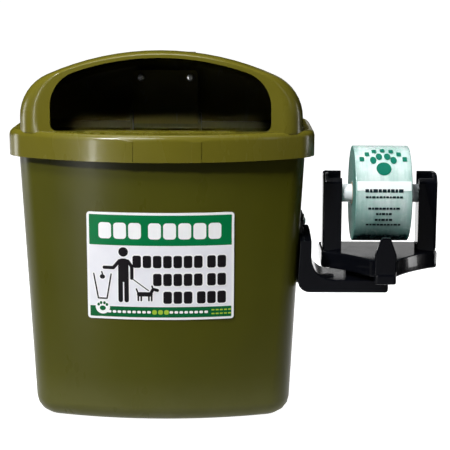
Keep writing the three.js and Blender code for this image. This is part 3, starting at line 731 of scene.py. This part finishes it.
def drawPaw(x, z, size, tall=1.0):
    addSpot(x, z - pawShape["padDrop"] * size, pawShape["pad"] * size, 24,
            pawShape["padSquash"] * tall)
    for angle, reach in pawShape["toes"]:
        turn = math.radians(angle)
        addSpot(x + reach * size * math.cos(turn) * pawShape["spread"],
                z + reach * size * math.sin(turn) * tall,
                pawShape["toe"] * size, 16, pawShape["toeStretch"] * tall)


# small bars where the footer's lines are: first place, spacing, number, then bar and corner
footerBars = {
    "white": [(-0.0640, 0.0062, 9), (0.0135, 0.0062, 8)], "whiteBar": (0.0046, 0.0034, 0.0014),
    "marks": (-0.0075, 0.0075, 3), "markBar": (0.0058, 0.0058, 0.0022),
    "numbers": (0.0655, 0.0052, 5), "numberBar": (0.0040, 0.0018, 0.0008), "numberRise": 0.0024,
}
footerMiddle = (footerBottom + footerTop) / 2


def barRow(row, bar, z):
    start, spacing, count = row
    for i in range(count):
        addBar(start + spacing * i, z, *bar)


def drawFooterBars():
    for row in footerBars["white"]:
        barRow(row, footerBars["whiteBar"], footerMiddle)


def drawFooterYellow():
    barRow(footerBars["marks"], footerBars["markBar"], footerMiddle)
    for side in (-1, 1):
        barRow(footerBars["numbers"], footerBars["numberBar"],
               footerMiddle + side * footerBars["numberRise"])


emblem = {"x": -0.0725, "rise": 0.0125, "radius": 0.0092, "pawShare": 0.95}
outline = {"block": 0.0032, "figure": 0.0014}  # how far the white shows round the black
layers = [
    ("panel_print", "panel",
     lambda: addBar(0, (headerBottom + footerTop) / 2, fieldWidth,
                    headerBottom - footerTop - 2 * label["panelSpace"])),
    ("header_print", "green",
     lambda: addBar(0, (headerTop + headerBottom) / 2, fieldWidth, label["header"],
                    label["barCorner"])),
    ("footer_print", "darkGreen",
     lambda: addBar(0, (footerTop + footerBottom) / 2, fieldWidth, label["footer"],
                    label["barCorner"])),
    ("heading_print", "white", drawHeading),
    ("outline_print", "white",
     lambda: (drawRequest(outline["block"]), drawWalker(outline["figure"]))),
    ("request_print", "black", lambda: (drawRequest(0), drawWalker(0))),
    ("footer_bar_print", "white", drawFooterBars),
    ("footer_mark_print", "yellow", drawFooterYellow),
    ("emblem_disc_print", "white",
     lambda: addSpot(emblem["x"], footerBottom + emblem["rise"], emblem["radius"])),
    ("emblem_paw_print", "darkGreen",
     lambda: drawPaw(emblem["x"], footerBottom + emblem["rise"],
                     emblem["radius"] * emblem["pawShare"])),
]
for level, (layerName, ink, draw) in enumerate(layers):
    proud = label["layer"] * (level + 1)
    printLayer("label_" + layerName, draw, inks[ink],
               lambda p, lift=proud: onFront(p.x, p.z, lift), "tub", "printed_label", labelCuts)
print("label made")


# dispenser: arm, cradle, uprights, finger

# corner is the flat cut on a part's long front edges, and upright how near to vertical they are
dispenser = {
    "edge": 0.0009, "edgeAngle": 24, "smoothAngle": 30, "segments": 3,
    "longEdge": 0.010, "frontShare": 0.25, "sharp": 50,
    "parts": [
        {"node": "holder_arm", "name": "dispenser_arm"},
        {"node": "cradle_base", "name": "dispenser_cradle"},
        {"node": "left_upright", "name": "slotted_upright_left", "corner": 0.0024, "upright": 0.95},
        {"node": "right_upright", "name": "slotted_upright_right", "corner": 0.0024,
         "upright": 0.95},
        {"node": "side_plate", "name": "tub_side_plate"},
        {"node": "tear_finger", "name": "tear_off_finger", "edge": 0.0006, "corner": 0.0017,
         "upright": 0.6},
    ],
}


def frontCorner(node, upright):
    # a test for the long edges that stand at a part's front
    low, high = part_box(node)
    front = low.y + dispenser["frontShare"] * (high.y - low.y)

    def test(edge):
        a, b = edge.verts[0].co, edge.verts[1].co
        length = (a - b).length
        return (length > dispenser["longEdge"] and abs(a.z - b.z) > upright * length
                and min(a.y, b.y) < front and len(edge.link_faces) == 2
                and edge.calc_face_angle(0) > math.radians(dispenser["sharp"]))
    return test


for part in dispenser["parts"]:
    node = part["node"]
    corners = None
    if "corner" in part:
        corners = (part["corner"], frontCorner(node, part["upright"]))
    piece = refinedCopy(node, part["name"], part.get("edge", dispenser["edge"]),
                        edgeAngle=dispenser["edgeAngle"], smoothAngle=dispenser["smoothAngle"],
                        segments=dispenser["segments"], corners=corners)
    finishPiece(piece, "tub", "black_plastic", blackPlastic, node)
print("dispenser made")


# spindle tube

tube = {"sides": 72, "wall": 0.0022, "lip": 0.0005, "smoothAngle": 40}


def spindleTube():
    low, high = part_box("spindle_tube")
    piece = hollowCylinder("white_spindle_tube", tube["sides"], (high.z - low.z) / 2, low, high,
                           [(tube["wall"], 0)])
    leaveEdit()
    recalculate(piece)
    addBevel(piece, tube["lip"], tube["smoothAngle"], 2)
    applyAll(piece)
    smooth(piece, tube["smoothAngle"])
    finishPiece(piece, "spindle", "white_plastic", whitePlastic, "spindle_tube")


spindleTube()
print("spindle made")


# roll of bags

roll = {
    "sides": 160, "rings": 9, "ringDepth": 0.00035, "edge": 0.0012, "edgeAngle": 50,
    "smoothAngle": 35, "outside": 0.9, "endFacing": 0.8,
    "ripple": 0.0004, "rippleStep": 0.004, "rippleAcross": 60, "rippleRound": 25,
    "cardSpace": 0.0003,
}
# the heights of the painted shade low on the roll and of the painted shadow under the hem are
# shares of the roll's radius, from its axis
film = {
    "pale": (0.80, 0.90, 0.88), "mint": (0.50, 0.70, 0.65), "teal": (0.012, 0.21, 0.175),
    "shade": (0.004, 0.028, 0.030), "cloud": 34, "streaks": 240, "streakShare": 0.22,
    "lowShadeShare": 0.66, "lowShadeFrom": -0.80, "lowShadeTo": 0.20,
    "hemShadowShare": 0.95, "hemShadowFrom": -0.72, "hemShadowTo": -0.66, "hemWave": 0.16, "hemScale": 75,
    "edgeShare": 0.35, "edgeFrom": 0.007, "edgeTo": 0.001,
    "smear": 120, "gloss": (0.16, 0.34), "coat": 0.25, "coatRoughness": 0.12,
    "milk": 0.25, "milkReach": (0.003, 0.005, 0.004),
    "windings": 900, "windingStrength": 0.25, "windingDepth": 0.0002,
    "wrinkles": 95, "wrinkleStrength": 0.32, "wrinkleDepth": 0.0012,
    "crinkles": 420, "crinkleStrength": 0.16, "crinkleDepth": 0.0003,
}
woundLook = {"color": (0.085, 0.26, 0.21), "shade": (0.035, 0.13, 0.11), "rings": 1400,
             "smear": 160, "gloss": (0.5, 0.7), "specular": 0.25,
             "ringStrength": 0.35, "ringDepth": 0.0003}
rollLow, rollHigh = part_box("bag_roll")
coreLow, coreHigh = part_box("roll_core")
rollCentre = (rollLow + rollHigh) / 2
rollRadius = (rollHigh.z - rollLow.z) / 2
boreRadius = (coreHigh.z - coreLow.z) / 2 + roll["cardSpace"]


def bagFilm(name):
    # thin film wound tight: milky where it is thick, with wrinkles across the winding
    m = Nodes(name)
    centred = m.add("ShaderNodeMapping")
    centred.inputs["Location"].default_value = (-rollCentre.x, -rollCentre.y, -rollCentre.z)
    m.link(m.place, centred.inputs["Vector"])
    split = m.add("ShaderNodeSeparateXYZ")
    m.link(centred.outputs["Vector"], split.inputs["Vector"])
    height = split.outputs["Z"]
    cloud = m.noise(film["cloud"], 4, 0.6, (1, 0.5, 0.5))
    color = m.mixColors(m.span(cloud, 0, 1), film["pale"], film["mint"])
    streaks = m.noise(film["streaks"], 3, 0.55, (1, 0.10, 0.10))
    color = m.mixColors(m.span(streaks, 0, film["streakShare"]), color, film["teal"])
    # painted shade: the film is painted darker teal towards the bottom of the roll
    paintedLowShade = m.span(height, film["lowShadeShare"], 0, film["lowShadeFrom"] * rollRadius,
                  film["lowShadeTo"] * rollRadius)
    color = m.mixColors(paintedLowShade, color, film["teal"])
    # painted shadow: below a wavy line under the loose end's hem the film is painted nearly black
    hem = m.add("ShaderNodeMath", operation="MULTIPLY_ADD")
    hem.inputs[1].default_value = film["hemWave"] * rollRadius
    m.link(m.noise(film["hemScale"], 2, 0.5, (1, 0, 0)), hem.inputs[0])
    m.link(height, hem.inputs[2])
    shade = m.span(hem.outputs[0], film["hemShadowShare"], 0, film["hemShadowFrom"] * rollRadius,
                   film["hemShadowTo"] * rollRadius)
    color = m.mixColors(shade, color, film["shade"])
    # and it is deeper beside the roll's two ends
    outer = m.add("ShaderNodeMath", operation="ABSOLUTE")
    m.link(split.outputs["X"], outer.inputs[0])
    halfWidth = (rollHigh.x - rollLow.x) / 2
    color = m.mixColors(m.span(outer.outputs[0], 0, film["edgeShare"],
                               halfWidth - film["edgeFrom"], halfWidth - film["edgeTo"]),
                        color, film["teal"])
    flat = m.add("ShaderNodeCombineXYZ")
    m.link(split.outputs["Y"], flat.inputs["Y"])
    m.link(height, flat.inputs["Z"])
    reach = m.add("ShaderNodeVectorMath", operation="LENGTH")
    m.link(flat.outputs["Vector"], reach.inputs[0])
    many = m.add("ShaderNodeMath", operation="MULTIPLY")
    many.inputs[1].default_value = 2 * math.pi * film["windings"]
    m.link(reach.outputs["Value"], many.inputs[0])
    wave = m.add("ShaderNodeMath", operation="SINE")
    m.link(many.outputs[0], wave.inputs[0])
    m.link(color, m.shader.inputs["Base Color"])
    m.link(m.span(m.noise(film["smear"], 3, 0.6), *film["gloss"]), m.shader.inputs["Roughness"])
    m.shader.inputs["Subsurface Weight"].default_value = film["milk"]
    m.shader.inputs["Subsurface Radius"].default_value = film["milkReach"]
    m.shader.inputs["Coat Weight"].default_value = film["coat"]
    m.shader.inputs["Coat Roughness"].default_value = film["coatRoughness"]
    winding = m.bump(wave.outputs[0], film["windingStrength"], film["windingDepth"])
    wrinkles = m.bump(m.noise(film["wrinkles"], 4, 0.6, (1, 0.35, 0.35)),
                      film["wrinkleStrength"], film["wrinkleDepth"], winding)
    crinkle = m.bump(m.noise(film["crinkles"], 3, 0.6), film["crinkleStrength"],
                     film["crinkleDepth"], wrinkles)
    m.link(crinkle, m.shader.inputs["Normal"])
    return m.material


def woundEdge(name):
    # the cut edges of the film, ring on ring round the roll's axis
    m = Nodes(name)
    centred = m.add("ShaderNodeMapping")
    centred.inputs["Location"].default_value = (0, -rollCentre.y, -rollCentre.z)
    centred.inputs["Scale"].default_value = (0, 1, 1)
    m.link(m.place, centred.inputs["Vector"])
    reach = m.add("ShaderNodeVectorMath", operation="LENGTH")
    m.link(centred.outputs["Vector"], reach.inputs[0])
    rings = m.add("ShaderNodeTexNoise", noise_dimensions="1D")
    rings.inputs["Scale"].default_value = woundLook["rings"]
    rings.inputs["Detail"].default_value = 3
    m.link(reach.outputs["Value"], rings.inputs["W"])
    m.link(m.mixColors(m.span(rings.outputs["Fac"], 0, 1), woundLook["color"],
                       woundLook["shade"]), m.shader.inputs["Base Color"])
    m.link(m.span(m.noise(woundLook["smear"], 3, 0.6), *woundLook["gloss"]),
           m.shader.inputs["Roughness"])
    m.shader.inputs["Specular IOR Level"].default_value = woundLook["specular"]
    m.link(m.bump(rings.outputs["Fac"], woundLook["ringStrength"], woundLook["ringDepth"]),
           m.shader.inputs["Normal"])
    return m.material


filmMaterial = bagFilm("mint_bag_film")
edgeMaterial = woundEdge("wound_film_edge")


def bagRoll():
    step = (rollRadius - boreRadius) / roll["rings"]
    insets = [(step, roll["ringDepth"] * (-1 if ring % 2 == 0 else 1))
              for ring in range(roll["rings"])]
    piece = hollowCylinder("wound_bag_roll", roll["sides"], rollRadius, rollLow, rollHigh, insets)
    # cuts across the outside let it ripple
    for x in stations(rollLow.x, rollHigh.x, roll["rippleStep"]):
        bpy.ops.mesh.select_all(action="SELECT")
        bpy.ops.mesh.bisect(plane_co=(x, 0, 0), plane_no=(1, 0, 0))
    leaveEdit()
    recalculate(piece)
    for vertex in piece.data.vertices:
        out = Vector((0, vertex.co.y - rollCentre.y, vertex.co.z - rollCentre.z))
        if out.length > roll["outside"] * rollRadius:
            wave = noise.noise(Vector((vertex.co.x * roll["rippleAcross"],
                                       out.y * roll["rippleRound"], out.z * roll["rippleRound"])))
            vertex.co -= out.normalized() * roll["ripple"] * (0.5 + 0.5 * wave)
    addBevel(piece, roll["edge"], roll["edgeAngle"], 3)
    applyAll(piece)
    smooth(piece, roll["smoothAngle"])
    finishPiece(piece, "roll", "bag_film", filmMaterial, "bag_roll")
    # its two ends show the cut edges of the film
    piece.data.materials.append(edgeMaterial)
    for polygon in piece.data.polygons:
        if abs(polygon.normal.x) > roll["endFacing"]:
            polygon.material_index = 1


bagRoll()

# the outermost bag lies round the front of the roll and ends in a wavy sealed hem; its corner
# angles are up and down from the level of the axis, and its hem is the lowest share of it
bagEnd = {"topAngle": 50, "bottomAngle": -62, "inset": 0.001, "lift": 0.00025,
          "thickness": 0.00012, "across": 44, "along": 72, "smoothAngle": 60,
          "hem": 0.06, "hemWaves": 7, "hemWave": 0.0012, "hemLift": 0.0004,
          "wave": 0.00012, "wavesAcross": 9, "wavesAlong": 14}


def onRoll(x, along, lift):
    # along is measured over the roll's front from the level of its axis
    angle = along / rollRadius
    reach = rollRadius + lift
    return Vector((x, rollCentre.y - reach * math.cos(angle),
                   rollCentre.z + reach * math.sin(angle)))


def looseEnd():
    low = rollRadius * math.radians(bagEnd["bottomAngle"])
    high = rollRadius * math.radians(bagEnd["topAngle"])
    left, right = rollLow.x + bagEnd["inset"], rollHigh.x - bagEnd["inset"]
    deselectAll()
    bpy.ops.mesh.primitive_grid_add(x_subdivisions=bagEnd["across"],
                                    y_subdivisions=bagEnd["along"], size=1)
    piece = named("loose_film_end")
    for vertex in piece.data.vertices:
        u, v = vertex.co.x + 0.5, vertex.co.y + 0.5
        nearHem = max(0.0, 1 - v / bagEnd["hem"])
        swing = math.sin(2 * math.pi * bagEnd["hemWaves"] * u)
        along = low + (high - low) * v + nearHem * bagEnd["hemWave"] * swing
        pucker = bagEnd["hemLift"] * nearHem * (0.5 + 0.5 * swing)
        place = Vector((u * bagEnd["wavesAcross"], v * bagEnd["wavesAlong"], 0.5))
        wave = bagEnd["wave"] * noise.noise(place)
        vertex.co = onRoll(left + (right - left) * u, along, bagEnd["lift"] + pucker + wave)
    thickness = piece.modifiers.new("film", "SOLIDIFY")
    thickness.thickness = bagEnd["thickness"]
    applyAll(piece)
    recalculate(piece)
    smooth(piece, bagEnd["smoothAngle"])
    finishPiece(piece, "roll", "bag_film", filmMaterial, "loose_bag_end")


looseEnd()

# its print: a green paw under an arch of blocks and rows of small bars, over a pale band that is a
# painted highlight;
# heights are over the level of the axis, measured round the roll
rollPrintAndHighlight = {
    "lift": 0.00075, "layer": 0.00005, "step": 0.003, "cutFrom": -0.075, "cutTo": 0.080,
    "paw": (0.0455, 0.0215), "pawTall": 1.25,
    "archHeight": 0.0380, "archRadius": 0.0315, "archTall": 1.15, "archBlocks": 7,
    "archFrom": 150, "archSweep": 120, "archBlock": (0.0058, 0.0078, 0.0012),
    "band": 0.0180, "bandSize": (0.0685, 0.0120, 0.001),
    # height of each row, its width, the bars' height and their number
    "rows": [(0.0120, 0.048, 0.0042, 9), (0.0040, 0.047, 0.0026, 11),
             (-0.0105, 0.040, 0.0028, 9), (-0.0178, 0.020, 0.0030, 5),
             (-0.0262, 0.022, 0.0032, 5), (-0.0338, 0.044, 0.0028, 10)],
    # the bars' widths follow this fixed rhythm
    "rhythm": (1.0, 0.7, 1.25, 0.85, 1.1, 0.75), "barSpace": 0.0009, "barCorner": 0.0007,
}
rollMiddle = rollCentre.x
rollCuts = [((0, 0, 1), z)
            for z in stations(rollPrintAndHighlight["cutFrom"], rollPrintAndHighlight["cutTo"], rollPrintAndHighlight["step"])]


def drawRollRows():
    rhythm, space = rollPrintAndHighlight["rhythm"], rollPrintAndHighlight["barSpace"]
    for z, width, height, count in rollPrintAndHighlight["rows"]:
        widths = [rhythm[i % len(rhythm)] for i in range(count)]
        scale = (width - space * (count - 1)) / sum(widths)
        x = rollMiddle - width / 2
        for share in widths:
            addBar(x + share * scale / 2, z, share * scale, height, rollPrintAndHighlight["barCorner"])
            x += share * scale + space


def drawRollArch():
    radius, count = rollPrintAndHighlight["archRadius"], rollPrintAndHighlight["archBlocks"]
    for i in range(count):
        angle = math.radians(rollPrintAndHighlight["archFrom"] - rollPrintAndHighlight["archSweep"] * i / (count - 1))
        addBar(rollMiddle + radius * math.cos(angle),
               rollPrintAndHighlight["archHeight"] + radius * math.sin(angle) * rollPrintAndHighlight["archTall"],
               *rollPrintAndHighlight["archBlock"])


def drawRollPaw():
    drawPaw(rollMiddle, *rollPrintAndHighlight["paw"], rollPrintAndHighlight["pawTall"])
    drawRollArch()


rollInksAndHighlight = {
    # the pale band is a painted highlight across the roll's upper front
    "pale": printInk("pale_band_ink", (0.90, 0.96, 0.95), (0.84, 0.92, 0.90)),
    "paw": printInk("roll_green_ink", (0.004, 0.17, 0.11), (0.003, 0.15, 0.095)),
    "text": printInk("roll_dark_ink", (0.010, 0.022, 0.028), (0.008, 0.018, 0.022)),
}
rollLayers = [
    ("band_print", "pale",
     lambda: addBar(rollMiddle, rollPrintAndHighlight["band"], *rollPrintAndHighlight["bandSize"])),
    ("paw_print", "paw", drawRollPaw),
    ("row_print", "text", drawRollRows),
]
for level, (layerName, ink, draw) in enumerate(rollLayers):
    lift = rollPrintAndHighlight["lift"] + rollPrintAndHighlight["layer"] * level
    printLayer("roll_" + layerName, draw, rollInksAndHighlight[ink],
               lambda p, up=lift: onRoll(p.x, p.z, up), "roll", "bag_film", rollCuts)
print("roll made")
